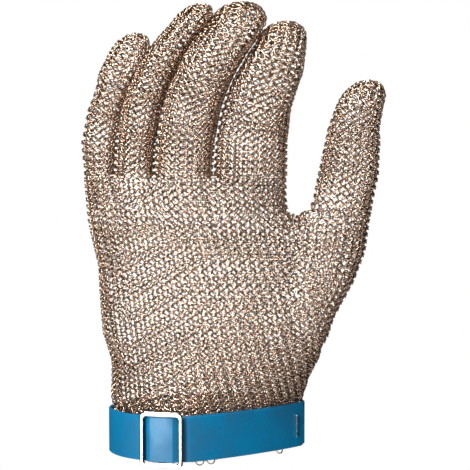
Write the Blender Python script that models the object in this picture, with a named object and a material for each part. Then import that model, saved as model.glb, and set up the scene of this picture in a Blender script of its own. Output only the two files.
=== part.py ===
"""Ring-mail glove with a blue wrist strap and a slide buckle, held up in its worn shape.

Row frame in metres: X to the thumb side, Y away from the viewer, Z up, origin in the middle of
the wrist opening at the hem. The mail pieces are thin hollow shells; every size below is in mm.
"""

import math

import bmesh
import bpy

MM = 0.001

# Main sizes
HAND_WIDTH = 96.3
PALM_DEPTH = 28.0
WEB_HEIGHT = 130.5
FINGER_REACH = 84.7
THUMB_WEB_HEIGHT = 111.5
THUMB_REACH = 66.0
WRIST_WIDTH = 89.0
WRIST_DEPTH = 48.0
WRIST_PEAK_X = -8.0
MAIL_WALL = 2.0
PIECE_GAP = 0.3
GROOVE_DIP = 3.6
FINGER_CURL = 20.0

# Strap, buckle and staple
STRAP_HEIGHT = 20.6
STRAP_FOOT = 2.0
STRAP_THICKNESS = 1.5
STRAP_CHAMFER = 0.35
STRAP_CORNER = 4.5
BUCKLE_ANGLE = -112.0
FREE_END_ANGLE = 351.0
BUCKLE_WIDTH = 19.8
BUCKLE_OVERHANG = 2.35
BUCKLE_THICKNESS = 2.0
BUCKLE_SIDE_BAR = 1.8
BUCKLE_END_BAR = 2.05
BUCKLE_CORNER = 2.4
CENTRE_BAR_WIDTH = 3.0
CENTRE_BAR_THICKNESS = 1.2
STAPLE_ANGLE = 340.5
STAPLE_LENGTH = 10.4
STAPLE_WIRE = 0.7

# Roundness of the sections: 1 is a diamond, 2 an ellipse, more is boxier. The front of the wrist
# falls away almost straight to the thumb side, and WRIST_SLANT turns that side further back.
WRIST_LEFT_POWER = 1.7
WRIST_RIGHT_POWER = 1.2
WRIST_BACK_POWER = 2.2
WRIST_SLANT = 0.12
PALM_POWER = 2.6
DIGIT_POWER = 2.3

# Palm above the strap. Height is a share of WEB_HEIGHT, left and right of HAND_WIDTH, and the
# depth of the middle, the half thickness and the arch across the palm of PALM_DEPTH.
PALM_COLUMNS = ("height", "left", "right", "middle", "half", "arch")
PALM_ROWS = (
    (0.205, -0.474, 0.480, 0.00, 0.93, 0.00),
    (0.265, -0.472, 0.502, 0.00, 0.90, 0.00),
    (0.337, -0.473, 0.552, 0.02, 0.85, 0.00),
    (0.441, -0.520, 0.585, 0.03, 0.79, 0.06),
    (0.548, -0.534, 0.577, 0.03, 0.73, 0.12),
    (0.678, -0.546, 0.545, 0.02, 0.65, 0.21),
    (0.785, -0.580, 0.486, -0.02, 0.59, 0.31),
    (0.839, -0.594, 0.436, -0.05, 0.56, 0.37),
    (0.870, -0.598, 0.401, -0.08, 0.55, 0.40),
    (0.916, -0.604, 0.389, -0.11, 0.54, 0.43),
    (1.000, -0.611, 0.388, -0.14, 0.50, 0.43),
)
ARCH_PEAK = 0.44

# Ball of the thumb. Height is a share of THUMB_WEB_HEIGHT, the others as for the palm.
BALL_COLUMNS = ("height", "left", "right", "middle", "half")
BALL_ROWS = (
    (0.360, 0.200, 0.460, 0.12, 0.32),
    (0.430, 0.190, 0.550, 0.10, 0.47),
    (0.480, 0.190, 0.588, 0.10, 0.54),
    (0.574, 0.208, 0.624, 0.11, 0.62),
    (0.726, 0.270, 0.721, 0.14, 0.63),
    (0.857, 0.332, 0.779, 0.18, 0.59),
    (0.919, 0.374, 0.788, 0.20, 0.56),
    (1.000, 0.431, 0.803, 0.21, 0.53),
)

# Lines between the fingers. Height is a share of FINGER_REACH above the webs, and each line is
# a share of HAND_WIDTH from the middle of the wrist.
LINE_COLUMNS = ("height", "little_side", "little_ring", "ring_middle", "middle_index", "index_side")
LINE_ROWS = (
    (0.00, -0.611, -0.459, -0.264, 0.025, 0.388),
    (0.19, -0.627, -0.451, -0.254, 0.036, 0.388),
    (0.37, -0.598, -0.430, -0.227, 0.064, 0.405),
    (0.49, -0.561, -0.398, -0.196, 0.101, 0.439),
    (0.58, -0.550, -0.363, -0.160, 0.137, 0.468),
    (0.69, -0.515, -0.311, -0.116, 0.194, 0.482),
    (0.77, -0.474, -0.262, -0.071, 0.241, 0.490),
    (0.84, -0.400, -0.208, -0.015, 0.285, 0.490),
    (0.90, -0.400, -0.171, 0.033, 0.295, 0.490),
)

# Bend of a finger away from the viewer, along its own length.
BEND_COLUMNS = ("along", "bend", "slim")
BEND_ROWS = (
    (0.00, 0.00, 1.00),
    (0.25, 0.03, 1.00),
    (0.45, 0.12, 1.00),
    (0.62, 0.27, 0.97),
    (0.75, 0.46, 0.94),
    (0.87, 0.72, 0.90),
    (1.00, 1.00, 0.85),
)

# Fingers. Dome is where the tip starts to close and tip its end, as shares of FINGER_REACH,
# tip_x a share of HAND_WIDTH, and the depth of the middle and half thickness of PALM_DEPTH.
FINGER_COLUMNS = ("name", "left", "right", "dome", "tip", "tip_x", "middle", "half")
FINGERS = (
    ("little_finger_mail", "little_side", "little_ring", 0.700, 0.838, -0.368, 0.19, 0.34),
    ("ring_finger_mail", "little_ring", "ring_middle", 0.870, 0.995, -0.033, -0.01, 0.42),
    ("middle_finger_mail", "ring_middle", "middle_index", 0.870, 1.000, 0.171, -0.14, 0.46),
    ("index_finger_mail", "middle_index", "index_side", 0.765, 0.893, 0.390, -0.07, 0.45),
)

# Thumb. Height is a share of THUMB_REACH above its web, left and right of HAND_WIDTH.
THUMB_COLUMNS = ("height", "left", "right", "middle", "half")
THUMB_ROWS = (
    (0.000, 0.431, 0.803, 0.21, 0.53),
    (0.060, 0.500, 0.810, 0.21, 0.52),
    (0.130, 0.519, 0.817, 0.21, 0.51),
    (0.300, 0.542, 0.843, 0.22, 0.49),
    (0.540, 0.579, 0.850, 0.25, 0.45),
    (0.640, 0.594, 0.848, 0.28, 0.43),
    (0.760, 0.624, 0.862, 0.33, 0.41),
    (0.820, 0.642, 0.873, 0.37, 0.40),
)
THUMB_TIP_X = 0.805

# Closing of a digit's tip: share of the dome's height and share of the full section.
DOME_COLUMNS = ("height", "width")
DOME_ROWS = ((0.30, 0.955), (0.55, 0.835), (0.75, 0.660), (0.90, 0.430))

DIGIT_POINTS = 20
SIDE_SHARES = (1.0, 0.985, 0.94)
LOBE_SHARES = (0.0, 0.22, 0.5, 0.78)


def column(rows, columns, name):
    index = columns.index(name)
    return [row[index] for row in rows]


def along(at, places, values):
    """Straight interpolation of values over rising places, held level beyond the ends."""
    if at <= places[0]:
        return values[0]
    for lower in range(len(places) - 1):
        if at <= places[lower + 1]:
            share = (at - places[lower]) / (places[lower + 1] - places[lower])
            return values[lower] + share * (values[lower + 1] - values[lower])
    return values[-1]


def new_material(name, colour, metallic, roughness):
    material = bpy.data.materials.new(name)
    material.use_nodes = True
    shader = material.node_tree.nodes["Principled BSDF"]
    shader.inputs["Base Color"].default_value = (*colour, 1.0)
    shader.inputs["Metallic"].default_value = metallic
    shader.inputs["Roughness"].default_value = roughness
    return material


def make_object(name, loops, material, closed_along=False, poles=(None, None)):
    """Skin over equal loops of points; the ends are caps, or a pole where one is given."""
    mesh = bmesh.new()
    rings = [[mesh.verts.new([v * MM for v in point]) for point in loop] for loop in loops]
    count = len(rings[0])
    pairs = list(zip(rings, rings[1:]))
    if closed_along:
        pairs.append((rings[-1], rings[0]))
    for lower, upper in pairs:
        for i in range(count):
            j = (i + 1) % count
            mesh.faces.new((lower[i], lower[j], upper[j], upper[i]))
    if not closed_along:
        for ring, pole, flip in ((rings[0], poles[0], True), (rings[-1], poles[1], False)):
            cap_end(mesh, ring, pole, flip)
    bmesh.ops.recalc_face_normals(mesh, faces=mesh.faces)
    data = bpy.data.meshes.new(name)
    mesh.to_mesh(data)
    mesh.free()
    data.materials.append(material)
    data.polygons.foreach_set("use_smooth", [True] * len(data.polygons))
    made = bpy.data.objects.new(name, data)
    bpy.context.scene.collection.objects.link(made)
    return made


def cap_end(mesh, ring, pole, flip):
    if pole is None:
        mesh.faces.new(ring[::-1] if flip else ring)
        return
    top = mesh.verts.new([v * MM for v in pole])
    for i in range(len(ring)):
        j = (i + 1) % len(ring)
        mesh.faces.new((ring[j], ring[i], top) if flip else (ring[i], ring[j], top))


def combine(target, other, operation):
    modifier = target.modifiers.new(operation.lower(), "BOOLEAN")
    modifier.operation = operation
    modifier.solver = "EXACT"
    modifier.object = other
    bpy.context.view_layer.objects.active = target
    bpy.ops.object.modifier_apply(modifier=modifier.name)
    bpy.data.objects.remove(other, do_unlink=True)


def oval(centre_x, centre_y, half_x, half_y, power, z, count):
    """Closed loop of a rounded box at height z."""
    points = []
    for i in range(count):
        angle = 2 * math.pi * i / count
        c = math.cos(angle)
        s = math.sin(angle)
        x = centre_x + half_x * math.copysign(abs(c) ** (2 / power), c)
        y = centre_y + half_y * math.copysign(abs(s) ** (2 / power), s)
        points.append((x, y, z))
    return points


def palm_shape(z):
    """Left, right, middle depth, half thickness and arch of the palm at height z."""
    cuff = STRAP_FOOT + STRAP_HEIGHT + PIECE_GAP
    heights = [0.0, cuff] + [h * WEB_HEIGHT for h in column(PALM_ROWS, PALM_COLUMNS, "height")]
    half_wrist = WRIST_WIDTH / 2

    def value(name, scale, at_wrist):
        shares = column(PALM_ROWS, PALM_COLUMNS, name)
        return along(z, heights, [at_wrist, at_wrist] + [s * scale for s in shares])

    left = value("left", HAND_WIDTH, -half_wrist)
    right = value("right", HAND_WIDTH, half_wrist)
    middle = value("middle", PALM_DEPTH, 0.0)
    half = value("half", PALM_DEPTH, WRIST_DEPTH / 2)
    arch = value("arch", PALM_DEPTH, 0.0)
    return left, right, middle, half, arch


def wrist_share(z):
    """1 under the strap, where the section is the wrist's, falling to 0 in mid-palm."""
    cuff = STRAP_FOOT + STRAP_HEIGHT + PIECE_GAP
    return along(z, [cuff, WEB_HEIGHT / 2], [1.0, 0.0])


def section_rise(x, left, right, peak, left_power, right_power):
    """Height of a rounded half section over its width, 1 at the peak and 0 at both ends."""
    if x < peak:
        u = (peak - x) / (peak - left)
        power = left_power
    else:
        u = (x - peak) / (right - peak)
        power = right_power
    return (1 - min(1.0, u) ** power) ** (1 / power)


def palm_places():
    """Places across the palm, as shares of its width, that follow the lines between fingers."""
    first = LINE_ROWS[0][1:]
    lines = [(x - first[0]) / (first[-1] - first[0]) for x in first]
    places = []
    for lower, upper in zip(lines, lines[1:]):
        for share in LOBE_SHARES:
            places.append((lower + share * (upper - lower), share))
    edge = [((1 - s) / 2, 0.5) for s in SIDE_SHARES]
    inner = [p for p in places if 0.05 < p[0] < 0.95]
    return edge + inner + [(1 - p, f) for p, f in reversed(edge)]


def palm_loop(z, inset):
    left, right, middle, half, arch = palm_shape(z)
    centre = (left + right) / 2
    wrist = wrist_share(z)
    peak = centre + wrist * (WRIST_PEAK_X - centre)
    left_power = PALM_POWER + wrist * (WRIST_LEFT_POWER - PALM_POWER)
    right_power = PALM_POWER + wrist * (WRIST_RIGHT_POWER - PALM_POWER)
    back_power = PALM_POWER + wrist * (WRIST_BACK_POWER - PALM_POWER)
    back_peak = centre * (1 - wrist)
    narrow = (right - left - 2 * inset) / (right - left)
    fade = along(z / WEB_HEIGHT, [0.80, 1.0], [0.0, 1.0])
    front = []
    back = []
    for place, share in palm_places():
        x = left + place * (right - left)
        x_in = centre + (x - centre) * narrow
        bow = arch * ((place - ARCH_PEAK) / (1 - ARCH_PEAK)) ** 2
        level = middle + bow + wrist * WRIST_SLANT * x_in
        dip = GROOVE_DIP * fade * (1 - math.sin(math.pi * share)) ** 1.5
        rise = section_rise(x, left, right, peak, left_power, right_power)
        front.append((x_in, level - max(0.0, (half - inset) * rise - dip), z))
        rise = section_rise(x, left, right, back_peak, back_power, back_power)
        back.append((x_in, level + max(0.0, (half - inset) * rise - dip), z))
    return front + back[-2:0:-1]


def ball_loop(row, inset, lift=0.0):
    height, left, right, middle, half = row
    centre = (left + right) / 2 * HAND_WIDTH
    reach = (right - left) / 2 * HAND_WIDTH - inset
    z = height * THUMB_WEB_HEIGHT + lift
    return oval(centre, middle * PALM_DEPTH, reach, half * PALM_DEPTH - inset,
                DIGIT_POWER, z, DIGIT_POINTS + 4)


def make_hand(material):
    """Palm, back and ball of the thumb: one shell, open at the hem and at every digit."""
    heights = [0.0, STRAP_FOOT + STRAP_HEIGHT + PIECE_GAP]
    heights += [h * WEB_HEIGHT for h in column(PALM_ROWS, PALM_COLUMNS, "height")]
    heights[-1] -= PIECE_GAP
    over = MAIL_WALL
    outer = make_object("hand_mail", [palm_loop(z, 0.0) for z in heights], material)
    ball = [ball_loop(row, 0.0) for row in BALL_ROWS[:-1]]
    ball.append(ball_loop(BALL_ROWS[-1], 0.0, -PIECE_GAP))
    combine(outer, make_object("ball_outside", ball, material), "UNION")

    hollow_loops = [palm_loop(z, MAIL_WALL) for z in heights]
    low = [(x, y, -over) for x, y, _ in hollow_loops[0]]
    high = [(x, y, WEB_HEIGHT + over) for x, y, _ in hollow_loops[-1]]
    hollow = make_object("palm_inside", [low] + hollow_loops + [high], material)
    inner = [ball_loop(row, MAIL_WALL) for row in BALL_ROWS]
    inner.append(ball_loop(BALL_ROWS[-1], MAIL_WALL, over))
    combine(hollow, make_object("ball_inside", inner, material), "UNION")
    combine(outer, hollow, "DIFFERENCE")
    return outer


def digit_sections(sections, tip, inset):
    """Loops of a digit closed by a dome; sections are (z, x, y, half_x, half_y) from the base."""
    last_z, last_x, last_y, last_w, last_d = sections[-1]
    tip_x, tip_y, tip_z = tip
    top = tip_z - inset
    closed = list(sections)
    for share, width in DOME_ROWS:
        z = last_z + share * (top - last_z)
        x = last_x + share * (tip_x - last_x)
        y = last_y + share * (tip_y - last_y)
        closed.append((z, x, y, last_w * width, last_d * width))
    loops = []
    for z, x, y, w, d in closed:
        shrink = inset * min(1.0, w / last_w)
        loops.append(oval(x, y, w - shrink, d - shrink, DIGIT_POWER, z, DIGIT_POINTS))
    return loops, (tip_x, tip_y, top)


def make_digit(name, sections, tip, material):
    """Hollow shell from its flat base rim over the outside to the tip, and back inside."""
    outside, outer_pole = digit_sections(sections, tip, 0.0)
    inside, inner_pole = digit_sections(sections, tip, MAIL_WALL)
    loops = outside[::-1] + inside
    return make_object(name, loops, material, poles=(outer_pole, inner_pole))


def make_finger(row, material):
    finger = dict(zip(FINGER_COLUMNS, row))
    heights = column(LINE_ROWS, LINE_COLUMNS, "height")
    lefts = column(LINE_ROWS, LINE_COLUMNS, finger["left"])
    rights = column(LINE_ROWS, LINE_COLUMNS, finger["right"])
    steps = column(BEND_ROWS, BEND_COLUMNS, "along")
    bends = column(BEND_ROWS, BEND_COLUMNS, "bend")
    slims = column(BEND_ROWS, BEND_COLUMNS, "slim")
    levels = [h for h in heights if h < finger["dome"] - 0.03] + [finger["dome"]]
    sections = []
    for level in levels:
        left = along(level, heights, lefts) * HAND_WIDTH + PIECE_GAP / 2
        right = along(level, heights, rights) * HAND_WIDTH - PIECE_GAP / 2
        step = level / finger["tip"]
        y = finger["middle"] * PALM_DEPTH + FINGER_CURL * along(step, steps, bends)
        depth = finger["half"] * PALM_DEPTH * along(step, steps, slims)
        z = WEB_HEIGHT + level * FINGER_REACH
        sections.append((z, (left + right) / 2, y, (right - left) / 2, depth))
    tip_x = finger["tip_x"] * HAND_WIDTH
    tip_y = finger["middle"] * PALM_DEPTH + FINGER_CURL
    tip_z = WEB_HEIGHT + finger["tip"] * FINGER_REACH
    return make_digit(finger["name"], sections, (tip_x, tip_y, tip_z), material)


def make_thumb(material):
    sections = []
    for height, left, right, middle, half in THUMB_ROWS:
        z = THUMB_WEB_HEIGHT + height * THUMB_REACH
        x = (left + right) / 2 * HAND_WIDTH
        width = (right - left) / 2 * HAND_WIDTH
        sections.append((z, x, middle * PALM_DEPTH, width, half * PALM_DEPTH))
    tip_y = sections[-1][2] + 2 * MAIL_WALL
    tip = (THUMB_TIP_X * HAND_WIDTH, tip_y, THUMB_WEB_HEIGHT + THUMB_REACH)
    return make_digit("thumb_mail", sections, tip, material)


def wrist_point(degrees, z):
    """Point of the mail's outside under the strap; 0 is the thumb side and -90 the front."""
    angle = math.radians(degrees)
    c = math.cos(angle)
    s = math.sin(angle)
    half = WRIST_WIDTH / 2
    if s > 0:
        peak = 0.0
        power = WRIST_BACK_POWER
    else:
        peak = WRIST_PEAK_X
        power = WRIST_RIGHT_POWER if c > 0 else WRIST_LEFT_POWER
    reach = half - peak if c > 0 else half + peak
    x = peak + math.copysign(reach * abs(c) ** (2 / power), c)
    y = math.copysign(WRIST_DEPTH / 2 * abs(s) ** (2 / power), s)
    return x, y + WRIST_SLANT * x, z


def wrist_normal(degrees):
    before = wrist_point(degrees - 2.0, 0.0)
    after = wrist_point(degrees + 2.0, 0.0)
    dx = after[0] - before[0]
    dy = after[1] - before[1]
    length = math.hypot(dx, dy)
    return dy / length, -dx / length


INNER_LAYER = PIECE_GAP + STRAP_THICKNESS / 2
OUTER_LAYER = INNER_LAYER + STRAP_THICKNESS + PIECE_GAP


def strap_offset(degrees):
    """How far the middle of the strap stands off the mail, from its hidden start to its free end."""
    turn = BUCKLE_ANGLE + 360
    layer = along(degrees, [turn - 75, turn - 30], [INNER_LAYER, OUTER_LAYER])
    hump = CENTRE_BAR_THICKNESS + PIECE_GAP
    steps = [turn - 13, turn - 8, turn + 8, turn + 13]
    return layer + along(degrees, steps, [0.0, hump, hump, 0.0])


def make_strap(material):
    """One strap: under the buckle, round the wrist, over the centre bar, free end on top."""
    turn = BUCKLE_ANGLE + 360
    angles = [BUCKLE_ANGLE + 4 * i for i in range(87)]
    angles = [a for a in angles if a < turn - 15]
    angles += [turn + 2 * i for i in range(-7, 8)]
    angles += [a for a in range(int(turn) + 18, int(FREE_END_ANGLE) - 4, 4)]
    loops = []
    foot = STRAP_FOOT
    top = STRAP_FOOT + STRAP_HEIGHT
    for angle in angles:
        loops.append(strap_section(angle, foot, top))
    for share in (0.0, 0.4, 0.7, 0.9, 1.0):
        cut = STRAP_CORNER * (1 - math.sqrt(1 - share * share))
        loops.append(strap_section(FREE_END_ANGLE - 4 + 4 * share, foot + cut, top - cut))
    return make_object("wrist_strap", loops, material)


def strap_section(angle, foot, top):
    half = STRAP_THICKNESS / 2
    edge = STRAP_CHAMFER
    nx, ny = wrist_normal(angle)
    offset = strap_offset(angle)
    x, y, _ = wrist_point(angle, 0.0)
    corners = (
        (-half + edge, foot),
        (half - edge, foot),
        (half, foot + edge),
        (half, top - edge),
        (half - edge, top),
        (-half + edge, top),
        (-half, top - edge),
        (-half, foot + edge),
    )
    return [(x + nx * (offset + n), y + ny * (offset + n), z) for n, z in corners]


def rounded_rectangle(half_x, half_z, corner, depth):
    points = []
    for sx, sz, start in ((1, 1, 0), (-1, 1, 90), (-1, -1, 180), (1, -1, 270)):
        for step in range(5):
            angle = math.radians(start + 22.5 * step)
            x = sx * (half_x - corner) + corner * math.cos(angle)
            z = sz * (half_z - corner) + corner * math.sin(angle)
            points.append((x, depth, z))
    return points


def place_on_strap(made, angle, z, offset):
    """Turn an object built facing -Y to face out from the wrist at the angle."""
    nx, ny = wrist_normal(angle)
    x, y, _ = wrist_point(angle, 0.0)
    spin = math.atan2(ny, nx) + math.pi / 2
    c = math.cos(spin)
    s = math.sin(spin)
    for vertex in made.data.vertices:
        px = vertex.co.x
        py = vertex.co.y
        vertex.co.x = px * c - py * s + (x + nx * offset) * MM
        vertex.co.y = px * s + py * c + (y + ny * offset) * MM
        vertex.co.z += z * MM


def make_buckle(material):
    """Rounded frame with a centre bar; local -Y faces out from the wrist."""
    half_x = BUCKLE_WIDTH / 2
    half_z = STRAP_HEIGHT / 2 + BUCKLE_OVERHANG
    in_x = half_x - BUCKLE_SIDE_BAR
    in_z = half_z - BUCKLE_END_BAR
    soft = 0.5
    thick = BUCKLE_THICKNESS
    inside = BUCKLE_CORNER / 2
    loops = [
        rounded_rectangle(half_x - soft, half_z - soft, BUCKLE_CORNER - soft, 0.0),
        rounded_rectangle(half_x, half_z, BUCKLE_CORNER, -soft),
        rounded_rectangle(half_x, half_z, BUCKLE_CORNER, soft - thick),
        rounded_rectangle(half_x - soft, half_z - soft, BUCKLE_CORNER - soft, -thick),
        rounded_rectangle(in_x + soft, in_z + soft, inside + soft, -thick),
        rounded_rectangle(in_x, in_z, inside, soft - thick),
        rounded_rectangle(in_x, in_z, inside, -soft),
        rounded_rectangle(in_x + soft, in_z + soft, inside + soft, 0.0),
    ]
    frame = make_object("strap_buckle", loops, material, closed_along=True)
    front_of_strap = OUTER_LAYER + STRAP_THICKNESS / 2 + PIECE_GAP
    bar_back = front_of_strap - (INNER_LAYER + STRAP_THICKNESS / 2 + PIECE_GAP)
    combine(frame, make_centre_bar(half_z, bar_back, material), "UNION")
    place_on_strap(frame, BUCKLE_ANGLE, STRAP_FOOT + STRAP_HEIGHT / 2, front_of_strap)
    return frame


def make_centre_bar(half_z, back, material):
    """Flat bar behind the strap, its two ends cranked forward into the frame."""
    reach = half_z - BUCKLE_END_BAR / 2
    clear = STRAP_HEIGHT / 2 + PIECE_GAP
    front = back - CENTRE_BAR_THICKNESS
    sunk = -BUCKLE_THICKNESS / 2
    half = CENTRE_BAR_WIDTH / 2
    profile = (
        (back, -reach),
        (sunk, -reach),
        (sunk, -clear),
        (front, -clear),
        (front, clear),
        (sunk, clear),
        (sunk, reach),
        (back, reach),
    )
    loops = [[(x, y, z) for y, z in profile] for x in (-half, half)]
    return make_object("centre_bar", loops, material)


def make_staple(material):
    """Short wire across the strap near its free end, with both ends rounded off."""
    wire = STAPLE_WIRE / 2
    half = STAPLE_LENGTH / 2
    loops = []
    for z, size in ((-half, 0.5), (wire - half, 1.0), (half - wire, 1.0), (half, 0.5)):
        loop = oval(0.0, -wire, wire * size, wire * size, 2.0, z, 8)
        loops.append(loop)
    made = make_object("strap_staple", loops, material)
    offset = OUTER_LAYER + STRAP_THICKNESS / 2 + PIECE_GAP
    place_on_strap(made, STAPLE_ANGLE, STRAP_FOOT + STRAP_HEIGHT / 2, offset)
    return made


def main():
    for old in list(bpy.data.objects):
        bpy.data.objects.remove(old, do_unlink=True)
    steel_mail = new_material("steel_mail", (0.62, 0.62, 0.63), 1.0, 0.32)
    strap_blue = new_material("strap_blue", (0.012, 0.16, 0.38), 0.0, 0.30)
    buckle_steel = new_material("buckle_steel", (0.78, 0.78, 0.76), 1.0, 0.18)
    staple_steel = new_material("staple_steel", (0.80, 0.82, 0.84), 1.0, 0.25)
    make_hand(steel_mail)
    for row in FINGERS:
        make_finger(row, steel_mail)
    make_thumb(steel_mail)
    make_strap(strap_blue)
    make_buckle(buckle_steel)
    make_staple(staple_steel)


main()
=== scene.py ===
"""Looks of the ring-mail glove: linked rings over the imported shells, strap, buckle and studio."""

import math

import bpy
import numpy as np
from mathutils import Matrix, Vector


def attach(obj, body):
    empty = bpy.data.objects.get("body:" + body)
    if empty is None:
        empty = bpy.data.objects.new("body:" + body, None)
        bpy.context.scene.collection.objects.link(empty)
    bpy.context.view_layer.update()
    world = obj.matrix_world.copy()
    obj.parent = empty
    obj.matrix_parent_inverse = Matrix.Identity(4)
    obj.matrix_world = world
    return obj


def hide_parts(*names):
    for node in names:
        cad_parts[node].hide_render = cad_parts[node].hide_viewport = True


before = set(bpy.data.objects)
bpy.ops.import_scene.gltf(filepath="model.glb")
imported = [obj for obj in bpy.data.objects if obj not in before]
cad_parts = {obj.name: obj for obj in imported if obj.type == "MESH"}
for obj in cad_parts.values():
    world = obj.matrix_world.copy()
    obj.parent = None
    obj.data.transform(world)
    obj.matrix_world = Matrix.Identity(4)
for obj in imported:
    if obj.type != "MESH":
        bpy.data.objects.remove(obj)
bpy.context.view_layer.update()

MM = 0.001

# Rings: the circle along the middle of the wire, the wire, and how they lean against their rows
RING_RADIUS = 1.87 * MM
WIRE_RADIUS = 0.30 * MM
RING_SIDES = 11
WIRE_SIDES = 5
RING_TILT = math.radians(28.0)
RING_YAW = math.radians(2.0)

# Spacing round a row, its least at the tips, and how deep the rings' middles lie in the shell
PITCH = 4.6 * MM
SHORTEST_PITCH = 4.0 * MM
RING_DEPTH = 0.85 * MM

# How far single rings stray at random, each way
TILT_JITTER = math.radians(3.0)
YAW_JITTER = math.radians(3.0)
PLACE_JITTER = 0.05 * MM

# The shells are cut into loops this close together, and each loop is sampled at so many points.
# Each stack of loops is then smoothed in so many passes.
FINE_STEP = 0.5 * MM
LOOP_POINTS = 720
HAND_SMOOTHING = 12
DIGIT_SMOOTHING = 6

# Samples to either side of a point between which a direction along its loop is taken
GRID_REACH = 3
ROW_REACH = 2.0

# Points that agree to this are one point. The next two keep a cutting plane off a corner and a
# length off zero, and the last keeps a place in a grid below the grid's last row.
SAME_POINT = 0.001 * MM
OFF_PLANE = 1e-9
LEAST_LENGTH = 1e-12
END_MARGIN = 1.001

# Heights of the hand's mail: its hem, where its pieces meet, and the webs of thumb and fingers
HEM_HEIGHT = 2.8 * MM
MIDDLE = 62.0 * MM
THUMB_WEB_HEIGHT = 111.5 * MM
WEB_HEIGHT = 130.5 * MM
SPLIT_BELOW_WEB = 1.0 * MM
TOP_BELOW_WEB = 0.4 * MM

# Steps left before the first row of the hand below the thumb's web and above it
FIRST_ROWS = (0.5, 0.9)

# Step from row to row of the hand, in mm: the mail is drawn wide and short towards the cuff.
STEP_HEIGHTS = (0.0, 26.0, 45.0, 60.0, 90.0, 130.0)
STEP_SIZES = (1.25, 1.20, 1.30, 1.55, 1.62, 1.58)

# Lines down the hand that the columns of rings follow: height and X, in mm, of the lines that
# start between the fingers, on the front and on the back, and of the crease of the thumb's ball.
LINE_COLUMNS = ("height", "front_1", "front_2", "front_3", "back_1", "back_2", "back_3", "crease")
LINE_ROWS = (
    (0.0, -13.5, 7.0, 34.0, -34.0, -16.0, 11.0, 43.0),
    (26.0, -17.0, 3.2, 30.8, -35.0, -17.0, 10.0, 45.5),
    (40.0, -20.4, -0.2, 27.4, -36.0, -17.5, 10.0, 50.0),
    (60.0, -26.0, -5.6, 21.8, -37.5, -18.5, 9.0, 50.0),
    (75.0, -30.6, -10.4, 17.0, -38.5, -19.5, 8.0, 46.5),
    (90.0, -35.2, -15.4, 12.0, -39.8, -21.0, 6.5, 43.5),
    (104.0, -38.9, -19.6, 8.2, -41.0, -22.2, 5.0, 41.5),
    (111.0, -40.3, -21.3, 6.5, -41.2, -22.4, 4.8, 40.5),
    (130.5, -44.2, -25.4, 2.4, -41.9, -23.0, 4.6, 40.0),
)
# Number of the column on each line, from back_3 round the little finger's side to front_3
LINE_STEPS = (-15, -9, -5, 5, 9, 15)

# The ball of the thumb has columns of its own where it stands out past its crease by this much.
# They keep this share of a pitch from the crease, and are looked for up to so many each way.
CREASE_MARGIN = 1.5 * MM
BALL_GAP = 0.7
MOST_COLUMNS = 30

# Sway of the rows up and down round the hand, in mm: level, once round, twice round and sideways.
# A little of it below the fingers sets the rows of the back between those of the front.
SWAY = (0.75, 1.0, 0.3, -1.8)
SWAY_HEIGHTS = (8.0, 30.0, 88.0, 107.0, 112.0, 119.0, 125.0, 130.5)
SWAY_SHARES = (0.0, 1.0, 1.0, 0.0, 0.0, 0.19, 0.19, 0.05)

# Places where the hem hangs lower and shows under the strap: middle and half width, X in mm
TUFTS = ((-0.5, 4.6), (33.0, 2.6))
TUFT_ROWS = 2

# Digits: node, rings round the base, step from row to row in mm, and whether it is the odd rows
# that have a ring at the front
DIGITS = (
    ("little_finger_mail", 13, 1.80, True),
    ("ring_finger_mail", 15, 1.62, False),
    ("middle_finger_mail", 19, 1.62, False),
    ("index_finger_mail", 21, 1.66, True),
    ("thumb_mail", 19, 1.78, True),
)

# Steps left before a digit's first row and after its last, and the fewest rings to a row
DIGIT_FIRST_ROW = 0.3
DIGIT_LAST_ROW = 0.5
FEWEST_RINGS = 3

# Middle line of a digit: its level cuts, how far they keep from base and tip, and its lead
DIGIT_LEVELS = 14
LINE_OVER_BASE = 0.3 * MM
LINE_UNDER_TIP = 3.0 * MM
LINE_PAST_TIP = 6.0 * MM

# Loops round a digit turn square to its middle line over a length from the base. The line's
# direction is taken between points this far off, and the loops stop at the shortest.
TURN_LENGTH = 28.0 * MM
LINE_REACH = 8.0 * MM
SHORTEST_LOOP = 3.0 * MM

# Pieces of the hand's mail: name, whether of the front, whether low, nodes they stand in for
HAND_PIECES = (
    ("hand_rings_front_low", True, True, ("hand_mail",)),
    ("hand_rings_front_high", True, False, ()),
    ("hand_rings_back_low", False, True, ()),
    ("hand_rings_back_high", False, False, ()),
)

# Steels: colour, roughness, scale of the duller patches and strength of the grain's relief
STEELS = {
    # The rings' warm brown colour is grey steel with a painted reflection of skin laid into it.
    "ring_steel_painted_warm_reflection": ((0.58, 0.43, 0.325), 0.15, 900.0, 0.0),
    "buckle_steel": ((0.84, 0.83, 0.81), 0.15, 500.0, 0.15),
    "staple_steel": ((0.90, 0.92, 0.94), 0.22, 500.0, 0.0),
}
STEEL_DETAIL = 4.0
STEEL_STOPS = (0.3, 0.7)
STEEL_DULL_SHADE = 0.72
STEEL_ROUGHNESS_SHARES = (0.75, 1.3)
STEEL_RELIEF = 0.1 * MM

# Strap: darker and lighter tone, the lighter patches partly a painted sheen, roughness of each, their
# patches, and the pebble of its face
STRAP_TONES_AND_PAINTED_SHEEN = ((0.001, 0.084, 0.178), (0.002, 0.118, 0.240))
STRAP_ROUGHNESS = (0.42, 0.22)
STRAP_STOPS = (0.35, 0.65)
STRAP_PATCHES = 70.0
STRAP_PEBBLE = 2600.0
STRAP_PEBBLE_STRENGTH = 0.12
STRAP_PEBBLE_RELIEF = 0.05 * MM

# Studio, in metres
WHITE = (1.0, 1.0, 1.0)
AMBIENT = 0.02
LIGHT_AIM = (0.012, 0.0, 0.105)
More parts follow.
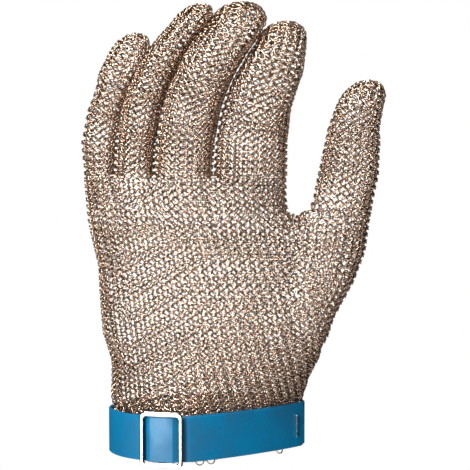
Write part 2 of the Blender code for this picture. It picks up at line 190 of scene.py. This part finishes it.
# Lamps: name, direction from the glove, then distance and side in metres and power in watts
LIGHTS = (
    ("key", (-0.58, -0.88, 0.45), 1.2, 0.32, 22.0),
    ("top", (-0.35, -0.50, 1.00), 1.2, 0.40, 14.0),
    ("low", (-0.45, -0.90, -0.12), 1.3, 0.60, 8.0),
    ("right", (0.60, -0.80, 0.10), 1.3, 0.40, 3.0),
    ("back", (0.45, 0.85, 0.50), 1.3, 0.50, 3.0),
)
FLOOR_HALF = 0.7
FLOOR_LEVEL = -0.6
FLOOR_COLOUR = (0.95, 0.95, 0.95)
FLOOR_ROUGHNESS = 0.9

# Camera: what it looks at, how far off and how high it stands, and the width it sees there
CAMERA_AIM = (0.0127, -0.003, 0.1032)
CAMERA_DISTANCE = 0.480
CAMERA_RISE = math.radians(3.0)
VIEW_WIDTH = 0.2209
SENSOR_WIDTH = 36.0
NEAREST_SEEN = 0.01

UP = np.array([0.0, 0.0, 1.0])
LEFT = np.array([-1.0, 0.0, 0.0])
BACK = np.array([0.0, 1.0, 0.0])

rng = np.random.default_rng(7)


def node_triangles(name):
    """Corners of a CAD node with its doubled points joined, and its triangles."""
    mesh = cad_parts[name].data
    mesh.calc_loop_triangles()
    points = np.empty(len(mesh.vertices) * 3)
    mesh.vertices.foreach_get("co", points)
    points = points.reshape(-1, 3)
    faces = np.empty(len(mesh.loop_triangles) * 3, np.int32)
    mesh.loop_triangles.foreach_get("vertices", faces)
    keys = np.round(points / SAME_POINT).astype(np.int64)
    _, first, same = np.unique(keys, axis=0, return_index=True, return_inverse=True)
    return points[first], same.reshape(-1)[faces].reshape(-1, 3)


def cut_loops(points, faces, centre, normal):
    """Closed loops in which a plane cuts the triangles."""
    side = (points - centre) @ normal
    side[side == 0.0] = OFF_PLANE
    above = side[faces] > 0
    crossing = faces[above.any(1) & ~above.all(1)]
    links = {}
    places = {}
    for face in crossing:
        ends = []
        for a, b in ((0, 1), (1, 2), (2, 0)):
            i, j = sorted((face[a], face[b]))
            if (side[i] > 0) != (side[j] > 0):
                share = side[i] / (side[i] - side[j])
                places[i, j] = points[i] + share * (points[j] - points[i])
                ends.append((i, j))
        links.setdefault(ends[0], []).append(ends[1])
        links.setdefault(ends[1], []).append(ends[0])
    loops = []
    left = set(links)
    while left:
        start = min(left)
        loop = [start]
        left.discard(start)
        while True:
            step = [k for k in links[loop[-1]] if k in left]
            if not step:
                break
            loop.append(step[0])
            left.discard(step[0])
        loops.append(np.array([places[k] for k in loop]))
    return loops


def perimeter(loop):
    """Length round a closed loop."""
    return np.linalg.norm(np.roll(loop, -1, 0) - loop, axis=1).sum()


def area_vector(loop):
    """Area inside a loop, as a vector along the axis that the loop turns round."""
    middle = loop - loop.mean(0)
    return np.cross(middle, np.roll(middle, -1, 0)).sum(0) / 2


def unit(vectors):
    """The vectors at length one."""
    lengths = np.linalg.norm(vectors, axis=-1, keepdims=True)
    return vectors / np.maximum(lengths, LEAST_LENGTH)


def lengths_along(line):
    """Distance along a line from its first point to each point."""
    return np.concatenate([[0], np.cumsum(np.linalg.norm(np.diff(line, axis=0), axis=1))])


def points_along(line, runs, at):
    """Points of a line at distances along it; runs are those of its own points."""
    return np.stack([np.interp(at, runs, line[:, k]) for k in range(3)], -1)


def even_loop(loop, normal, start):
    """The loop turned one way round and sampled evenly from the point that faces start."""
    if area_vector(loop) @ normal < 0:
        loop = loop[::-1]
    closed = np.vstack([loop, loop[:1]])
    runs = lengths_along(closed)
    even = points_along(closed, runs, np.linspace(0, runs[-1], LOOP_POINTS, endpoint=False))
    middle = (even.max(0) + even.min(0)) / 2
    across = start - normal * (start @ normal)
    across /= np.linalg.norm(across)
    other = np.cross(normal, across)
    turn = np.arctan2((even - middle) @ other, (even - middle) @ across)
    return np.roll(even, -int(np.argmin(np.abs(turn))), 0)


def smoothed(grid, passes):
    """The grid with each row drawn towards its neighbours, the end rows held."""
    for _ in range(passes):
        inner = (grid[:-2] + 2 * grid[1:-1] + grid[2:]) / 4
        grid = np.concatenate([grid[:1], inner, grid[-1:]])
    return grid


def loop_chords(grid):
    """Chords along the loops of a grid, one across each of its points."""
    return np.roll(grid, -GRID_REACH, 1) - np.roll(grid, GRID_REACH, 1)


def normals(grid):
    """Outward directions at the points of a grid of loops."""
    return unit(np.cross(loop_chords(grid), np.gradient(grid, axis=0)))


def surface_rows(grid):
    """Distance over the surface from the first row to each row, sliding round the loop left out."""
    moves = np.diff(grid, axis=0)
    tangents = unit(loop_chords(grid)[:-1])
    moves -= tangents * (moves * tangents).sum(2, keepdims=True)
    return np.concatenate([[0], np.cumsum(np.median(np.linalg.norm(moves, axis=2), axis=1))])


def row_places(runs, steps, first, last):
    """Places of rows up a grid, counted in its rows, with first and last steps left at its ends."""
    share = np.concatenate([[0], np.cumsum(np.diff(runs) / ((steps[1:] + steps[:-1]) / 2))])
    count = round(share[-1] - first - last)
    wanted = np.linspace(first, share[-1] - last, count + 1)
    return np.interp(wanted, share, np.arange(len(runs)))


def blend_rows(values, at):
    """A row between the sampled ones; at may differ from point to point of the loop."""
    at = np.clip(np.broadcast_to(at, LOOP_POINTS), 0, len(values) - END_MARGIN)
    low = at.astype(int)
    share = (at - low)[:, None]
    points = np.arange(LOOP_POINTS)
    return values[low, points] * (1 - share) + values[low + 1, points] * share


def take(row, places):
    """Points of a looped row at places given in samples, wrapping round."""
    places = np.asarray(places) % LOOP_POINTS
    low = np.floor(places).astype(int) % LOOP_POINTS
    share = (places - np.floor(places))[:, None]
    return row[low] * (1 - share) + row[(low + 1) % LOOP_POINTS] * share


class Rings:
    """Centres and frames of rings, gathered per piece and turned into one mesh."""

    def __init__(self):
        self.centres = []
        self.outs = []
        self.alongs = []
        self.leans = []

    def add(self, centres, outs, alongs, lean):
        """More rings: their centres, outward directions, directions of the row, and lean."""
        self.centres.append(centres)
        self.outs.append(outs)
        self.alongs.append(alongs)
        self.leans.append(np.full(len(centres), lean))

    def mesh_object(self, name, front=None, low=None):
        """The rings as one mesh: all of them, or those of the front or back, below or above MIDDLE."""
        centres = np.concatenate(self.centres)
        outs = np.concatenate(self.outs)
        alongs = np.concatenate(self.alongs)
        leans = np.concatenate(self.leans)
        kept = np.ones(len(centres), bool)
        if front is not None:
            kept &= (outs[:, 1] < 0) == front
        if low is not None:
            kept &= (centres[:, 2] < MIDDLE) == low
        return ring_object(name, centres[kept], outs[kept], alongs[kept], leans[kept])


def ring_points(centres, outs, alongs, leans):
    """Corners of the tori: one block for each ring, by place round the ring and round the wire."""
    count = len(centres)
    outs = unit(outs)
    alongs = unit(alongs - outs * (alongs * outs).sum(1, keepdims=True))
    ups = np.cross(outs, alongs)
    tilt = (leans * (RING_TILT + TILT_JITTER * rng.uniform(-1, 1, count)))[:, None]
    yaw = (RING_YAW + YAW_JITTER * rng.uniform(-1, 1, count))[:, None]
    side = alongs * np.cos(yaw) + outs * np.sin(yaw)
    face = outs * np.cos(yaw) - alongs * np.sin(yaw)
    rise = ups * np.cos(tilt) + face * np.sin(tilt)
    axis = np.cross(side, rise)
    spin = np.linspace(0, 2 * math.pi, RING_SIDES, endpoint=False)
    round_wire = np.linspace(0, 2 * math.pi, WIRE_SIDES, endpoint=False)
    stray = rng.uniform(-1, 1, (count, 3)) * PLACE_JITTER
    middle = (centres + stray)[:, None, None, :]
    radial = (side[:, None, :] * np.cos(spin)[None, :, None]
              + rise[:, None, :] * np.sin(spin)[None, :, None])[:, :, None, :]
    reach = (RING_RADIUS + WIRE_RADIUS * np.cos(round_wire))[None, None, :, None]
    lift = (WIRE_RADIUS * np.sin(round_wire))[None, None, :, None]
    return middle + radial * reach + axis[:, None, None, :] * lift


def ring_faces(count):
    """Four-sided faces of so many tori."""
    index = np.arange(RING_SIDES * WIRE_SIDES).reshape(RING_SIDES, WIRE_SIDES)
    next_side = np.roll(index, -1, 0)
    next_wire = np.roll(index, -1, 1)
    both = np.roll(next_side, -1, 1)
    quads = np.stack([index, next_side, both, next_wire], -1).reshape(-1, 4)
    return (quads[None] + (np.arange(count) * index.size)[:, None, None]).reshape(-1, 4)


def ring_object(name, centres, outs, alongs, leans):
    """One mesh of many small tori, each leaning about its row and turned a little."""
    points = ring_points(centres, outs, alongs, leans)
    faces = ring_faces(len(centres))
    mesh = bpy.data.meshes.new(name)
    mesh.vertices.add(points.size // 3)
    mesh.vertices.foreach_set("co", points.reshape(-1).astype(np.float32))
    mesh.loops.add(faces.size)
    mesh.loops.foreach_set("vertex_index", faces.reshape(-1).astype(np.int32))
    mesh.polygons.add(len(faces))
    mesh.polygons.foreach_set("loop_start", np.arange(0, faces.size, 4, dtype=np.int32))
    mesh.polygons.foreach_set("use_smooth", np.ones(len(faces), bool))
    mesh.update(calc_edges=True)
    made = bpy.data.objects.new(name, mesh)
    bpy.context.scene.collection.objects.link(made)
    return made


def row_lean(number):
    """The way the rings of a row lean, which turns from row to row."""
    return 1.0 if number % 2 else -1.0


def add_row(rings, row, out, places, lean):
    """Rings centred on a row at the places given, leaning one way."""
    centres = take(row, places)
    tangents = take(row, places + ROW_REACH) - take(row, places - ROW_REACH)
    rings.add(centres, take(out, places), tangents, lean)


def x_place(row, x, front):
    """Sample where the front or back of a row crosses X; rows start at their left end."""
    right = int(np.argmax(row[:, 0]))
    if front:
        part = np.arange(0, right + 1)
    else:
        part = np.arange(right, LOOP_POINTS + 1)
    xs = row[part % LOOP_POINTS, 0]
    order = 1 if front else -1
    return float(np.interp(x, np.maximum.accumulate(xs[::order]), part[::order]))


def hand_grid():
    """Heights and level loops of the hand's outside, all starting at the little finger's side."""
    points, faces = node_triangles("hand_mail")
    heights = np.arange(HEM_HEIGHT, WEB_HEIGHT - TOP_BELOW_WEB, FINE_STEP)
    rows = []
    for z in heights:
        loops = cut_loops(points, faces, z * UP, UP)
        loops = [loop for loop in loops if loop[:, 0].min() < 0.0]
        rows.append(even_loop(max(loops, key=perimeter), UP, LEFT))
    return heights, np.array(rows)


def sway():
    """How far a row rises at each point of the loop, which starts at the little finger's side."""
    turn = np.linspace(0, 2 * math.pi, LOOP_POINTS, endpoint=False)
    level, once, twice, sideways = SWAY
    rise = level + once * np.cos(turn) + twice * np.cos(2 * turn) + sideways * np.sin(turn)
    return rise * MM


def line_places(row, z):
    """Samples where a row crosses the lines, from back_3 to front_3, and the crease's X."""
    table = np.array(LINE_ROWS) * MM
    xs = dict(zip(LINE_COLUMNS, (np.interp(z, table[:, 0], column) for column in table.T)))
    back = [x_place(row, xs[name], False) - LOOP_POINTS for name in ("back_3", "back_2", "back_1")]
    front = [x_place(row, xs[name], True) for name in ("front_1", "front_2", "front_3")]
    return back + front, xs["crease"]


def bridge(low, high, pitch):
    """Places between two neighbours that stand too far apart."""
    extra = max(0, int((high - low) / pitch - 0.5))
    return [low + (high - low) * (k + 1) / (extra + 1) for k in range(extra)]


def ball_places(row, crease, first, last, pitch, shift):
    """Places on the thumb's side: on from the lines as far as the creases, then over the ball."""
    right = float(np.argmax(row[:, 0]))
    front_crease = x_place(row, crease, True)
    back_crease = x_place(row, crease, False)
    reach = np.arange(0, MOST_COLUMNS) + shift
    front = [first + k * pitch for k in reach if first + k * pitch < front_crease]
    back = [last - k * pitch for k in reach + 1 - 2 * shift if last - k * pitch > back_crease]
    ball = [right + (k + shift) * pitch for k in range(-MOST_COLUMNS, MOST_COLUMNS)]
    gap = BALL_GAP * pitch
    ball = [place for place in ball if front_crease + gap < place < back_crease - gap]
    places = front + back + ball
    if ball:
        return places + bridge(max(front), ball[0], pitch) + bridge(ball[-1], min(back), pitch)
    return places + bridge(max(front), min(back), pitch)


def add_hand_row(rings, row, out, z, number):
    """One row: columns along the lines, then an even pitch round the thumb's side or its ball."""
    shift = 0.5 * (number % 2)
    pitch = PITCH / perimeter(row) * LOOP_POINTS
    lines, crease = line_places(row, z)
    places = list(np.interp(np.arange(LINE_STEPS[0], LINE_STEPS[-1]) + shift, LINE_STEPS, lines))
    first = lines[-1]
    last = lines[0] + LOOP_POINTS
    if z < THUMB_WEB_HEIGHT and crease < row[:, 0].max() - CREASE_MARGIN:
        places += ball_places(row, crease, first, last, pitch, shift)
    else:
        count = round((last - first) / pitch)
        places += list(first + (np.arange(count) + shift) * (last - first) / count)
    add_row(rings, row, out, np.array(places), row_lean(number))


def add_tufts(rings, row, out):
    """A few rings below the hem's row, fewer in each row down."""
    lines, _ = line_places(row, HEM_HEIGHT)
    for k in range(1, TUFT_ROWS + 1):
        lower = row - k * STEP_SIZES[0] * MM * UP
        columns = np.arange(LINE_STEPS[0], LINE_STEPS[-1] + 1) + 0.5 * (k % 2)
        places = np.interp(columns, LINE_STEPS, lines)
        spread = (TUFT_ROWS - k) * PITCH / 2
        xs = take(lower, places)[:, 0]
        kept = np.zeros(len(places), bool)
        for middle, half in TUFTS:
            kept |= np.abs(xs - middle * MM) < half * MM + spread
        kept &= take(out, places)[:, 1] < 0
        add_row(rings, lower, out, places[kept], row_lean(k))


def build_hand(rings):
    """Rings of the hand in rows from the hem up; returns the rows below the thumb's web and all."""
    heights, grid = hand_grid()
    split = int(np.searchsorted(heights, THUMB_WEB_HEIGHT - SPLIT_BELOW_WEB))
    rise = sway() / FINE_STEP
    number = 0
    counts = []
    for part, first in zip((slice(0, split), slice(split, None)), FIRST_ROWS):
        rows = smoothed(grid[part], HAND_SMOOTHING)
        outs = normals(rows)
        centre_rows = rows - RING_DEPTH * outs
        steps = np.interp(heights[part] / MM, STEP_HEIGHTS, STEP_SIZES) * MM
        for at in row_places(surface_rows(rows), steps, first, 0.0):
            z = float(np.interp(at, np.arange(len(rows)), heights[part]))
            share = float(np.interp(z / MM, SWAY_HEIGHTS, SWAY_SHARES))
            row = blend_rows(centre_rows, at + share * rise)
            out = blend_rows(outs, at + share * rise)
            add_hand_row(rings, row, out, z, number)
            if number == 0:
                add_tufts(rings, row, out)
            number += 1
        counts.append(number)
    return counts


def digit_line(points, faces):
    """The line up a digit's middle, led on past the tip, and the distance along it."""
    low = points[:, 2].min()
    high = points[:, 2].max()
    centres = []
    for z in np.linspace(low + LINE_OVER_BASE, high - LINE_UNDER_TIP, DIGIT_LEVELS):
        outer = max(cut_loops(points, faces, z * UP, UP), key=perimeter)
        centres.append((outer.max(0) + outer.min(0)) / 2)
    tip = points[np.argmax(points[:, 2])]
    line = np.vstack([centres, tip])
    line[1:-1] = (line[:-2] + line[1:-1] + line[2:]) / 3
    runs = lengths_along(line)
    ahead = line[-1] - line[-2]
    line = np.vstack([line, line[-1] + ahead / np.linalg.norm(ahead) * LINE_PAST_TIP])
    return line, np.append(runs, runs[-1] + LINE_PAST_TIP)


def digit_rows(name):
    """Loops round a digit, level at its base and turning square to its middle line."""
    points, faces = node_triangles(name)
    line, runs = digit_line(points, faces)
    rows = []
    at = 0.0
    while at < runs[-1]:
        before = points_along(line, runs, at - LINE_REACH)
        after = points_along(line, runs, at + LINE_REACH)
        ahead = (after - before) / np.linalg.norm(after - before)
        turn = min(1.0, at / TURN_LENGTH)
        normal = (1 - turn) * UP + turn * ahead
        normal /= np.linalg.norm(normal)
        loops = cut_loops(points, faces, points_along(line, runs, at), normal)
        if not loops:
            break
        outer = max(loops, key=perimeter)
        if perimeter(outer) < SHORTEST_LOOP:
            break
        rows.append(even_loop(outer, normal, BACK))
        at += FINE_STEP
    return np.array(rows)


def build_digit(rings, name, around, step, odd_front, number):
    """Rings of a digit in rows from its base, fewer to a row where the tip closes in."""
    rows = smoothed(digit_rows(name), DIGIT_SMOOTHING)
    outs = normals(rows)
    centre_rows = rows - RING_DEPTH * outs
    runs = surface_rows(rows)
    steps = np.full(len(runs), step * MM)
    for at in row_places(runs, steps, DIGIT_FIRST_ROW, DIGIT_LAST_ROW):
        row = blend_rows(centre_rows, at)
        out = blend_rows(outs, at)
        count = max(FEWEST_RINGS, min(around, int(perimeter(row) / SHORTEST_PITCH)))
        front = float(np.argmin(row[:, 1]))
        shift = 0.5 * ((number + odd_front) % 2)
        places = front + (np.arange(count) + shift) * LOOP_POINTS / count
        add_row(rings, row, out, places, row_lean(number))
        number += 1


def new_material(name):
    """A new material with its node tree and its shader."""
    material = bpy.data.materials.new(name)
    material.use_nodes = True
    return material, material.node_tree, material.node_tree.nodes["Principled BSDF"]


def noise_source(tree, scale, detail=2.0):
    """Noise over a piece's own coordinates."""
    place = tree.nodes.new("ShaderNodeTexCoord")
    noise = tree.nodes.new("ShaderNodeTexNoise")
    noise.inputs["Scale"].default_value = scale
    noise.inputs["Detail"].default_value = detail
    tree.links.new(place.outputs["Object"], noise.inputs["Vector"])
    return noise.outputs["Fac"]


def set_colour(tree, shader, source, stops, colours):
    """Lets the source blend the shader's colour from the first to the second between the stops."""
    tones = tree.nodes.new("ShaderNodeValToRGB")
    for element, stop, colour in zip(tones.color_ramp.elements, stops, colours):
        element.position = stop
        element.color = (*colour, 1.0)
    tree.links.new(source, tones.inputs["Fac"])
    tree.links.new(tones.outputs["Color"], shader.inputs["Base Color"])


def set_roughness(tree, shader, source, stops, ends):
    """Lets the source lead the shader's roughness from one end to the other between the stops."""
    gloss = tree.nodes.new("ShaderNodeMapRange")
    gloss.inputs["From Min"].default_value, gloss.inputs["From Max"].default_value = stops
    gloss.inputs["To Min"].default_value, gloss.inputs["To Max"].default_value = ends
    tree.links.new(source, gloss.inputs["Value"])
    tree.links.new(gloss.outputs["Result"], shader.inputs["Roughness"])


def set_relief(tree, shader, source, strength, distance):
    """Raises the shader's surface by the source."""
    relief = tree.nodes.new("ShaderNodeBump")
    relief.inputs["Strength"].default_value = strength
    relief.inputs["Distance"].default_value = distance
    tree.links.new(source, relief.inputs["Height"])
    tree.links.new(relief.outputs["Normal"], shader.inputs["Normal"])


def steel_material(name):
    """Metal with small patches of duller finish and, where it has any, a faint grain."""
    colour, roughness, scale, strength = STEELS[name]
    material, tree, shader = new_material(name)
    shader.inputs["Metallic"].default_value = 1.0
    patches = noise_source(tree, scale, STEEL_DETAIL)
    dull = [part * STEEL_DULL_SHADE for part in colour]
    set_colour(tree, shader, patches, STEEL_STOPS, (dull, colour))
    ends = [roughness * share for share in STEEL_ROUGHNESS_SHARES]
    set_roughness(tree, shader, patches, (0.0, 1.0), ends)
    if strength:
        set_relief(tree, shader, patches, strength, STEEL_RELIEF)
    return material


def strap_material():
    """Moulded plastic with a faint pebble, slow changes of tone whose lighter patches are partly
    painted sheen, and glossier patches.
    """
    material, tree, shader = new_material("strap_plastic")
    patches = noise_source(tree, STRAP_PATCHES)
    # Slow random tone changes; the lighter patches, which are also the glossier ones, are partly a
    # painted sheen.
    set_colour(tree, shader, patches, STRAP_STOPS, STRAP_TONES_AND_PAINTED_SHEEN)
    set_roughness(tree, shader, patches, STRAP_STOPS, STRAP_ROUGHNESS)
    pebble = noise_source(tree, STRAP_PEBBLE)
    set_relief(tree, shader, pebble, STRAP_PEBBLE_STRENGTH, STRAP_PEBBLE_RELIEF)
    return material


def dress(node, material):
    """Gives a CAD node the material in each of its slots."""
    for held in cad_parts[node].material_slots:
        held.material = material


def surroundings():
    """White surroundings for the camera but dim ones for the light."""
    world = bpy.data.worlds.new("studio")
    world.use_nodes = True
    tree = world.node_tree
    back = tree.nodes["Background"]
    back.inputs["Color"].default_value = (*WHITE, 1.0)
    path = tree.nodes.new("ShaderNodeLightPath")
    level = tree.nodes.new("ShaderNodeMapRange")
    level.inputs["To Min"].default_value = AMBIENT
    level.inputs["To Max"].default_value = 1.0
    tree.links.new(path.outputs["Is Camera Ray"], level.inputs["Value"])
    tree.links.new(level.outputs["Result"], back.inputs["Strength"])
    bpy.context.scene.world = world
    bpy.context.scene.view_settings.view_transform = "Standard"


def lamps():
    """Soft square lamps round the glove, all turned towards it."""
    for name, direction, distance, size, power in LIGHTS:
        light = bpy.data.lights.new(name, "AREA")
        light.size = size
        light.energy = power
        made = bpy.data.objects.new(name, light)
        way = Vector(direction).normalized()
        made.location = Vector(LIGHT_AIM) + distance * way
        made.rotation_euler = way.to_track_quat("Z", "Y").to_euler()
        bpy.context.scene.collection.objects.link(made)


def floor():
    """A pale floor well below the glove and out of the camera's main view."""
    mesh = bpy.data.meshes.new("floor")
    corners = [(-1, -1), (1, -1), (1, 1), (-1, 1)]
    mesh.from_pydata([(x * FLOOR_HALF, y * FLOOR_HALF, FLOOR_LEVEL) for x, y in corners], [],
                     [(0, 1, 2, 3)])
    made = bpy.data.objects.new("floor", mesh)
    bpy.context.scene.collection.objects.link(made)
    material, _, shader = new_material("floor_white")
    shader.inputs["Base Color"].default_value = (*FLOOR_COLOUR, 1.0)
    shader.inputs["Roughness"].default_value = FLOOR_ROUGHNESS
    mesh.materials.append(material)


def camera():
    """The camera that matches the photograph's view of the glove."""
    aim = Vector(CAMERA_AIM)
    data = bpy.data.cameras.new("camera")
    data.sensor_width = SENSOR_WIDTH
    data.lens = SENSOR_WIDTH * CAMERA_DISTANCE / VIEW_WIDTH
    data.clip_start = NEAREST_SEEN
    made = bpy.data.objects.new("camera", data)
    way = Vector((0.0, -math.cos(CAMERA_RISE), math.sin(CAMERA_RISE)))
    made.location = aim + CAMERA_DISTANCE * way
    made.rotation_euler = (aim - made.location).to_track_quat("-Z", "Y").to_euler()
    bpy.context.scene.collection.objects.link(made)
    bpy.context.scene.camera = made


def finish_piece(made, material, slot, *nodes):
    """Hands a piece over: its material, what it rides and what it stands in for."""
    made.data.materials.append(material)
    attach(made, "root")
    if nodes:
        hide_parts(*nodes)


def main():
    """Lays out the rings, dresses the strap and its steel, and sets up the studio."""
    # The rings' steel carries a painted warm reflection of skin in its colour.
    steel = steel_material("ring_steel_painted_warm_reflection")
    hand = Rings()
    thumb_rows, finger_rows = build_hand(hand)
    for name, front, low, nodes in HAND_PIECES:
        made = hand.mesh_object(name, front, low)
        finish_piece(made, steel, "steel_mail", *nodes)
    for node, around, step, odd_front in DIGITS:
        rings = Rings()
        below = thumb_rows if node == "thumb_mail" else finger_rows
        build_digit(rings, node, around, step, odd_front, below)
        made = rings.mesh_object(node.replace("_mail", "_rings"))
        finish_piece(made, steel, "steel_mail", node)
    dress("wrist_strap", strap_material())
    dress("strap_buckle", steel_material("buckle_steel"))
    dress("strap_staple", steel_material("staple_steel"))
    surroundings()
    lamps()
    floor()
    camera()


main()
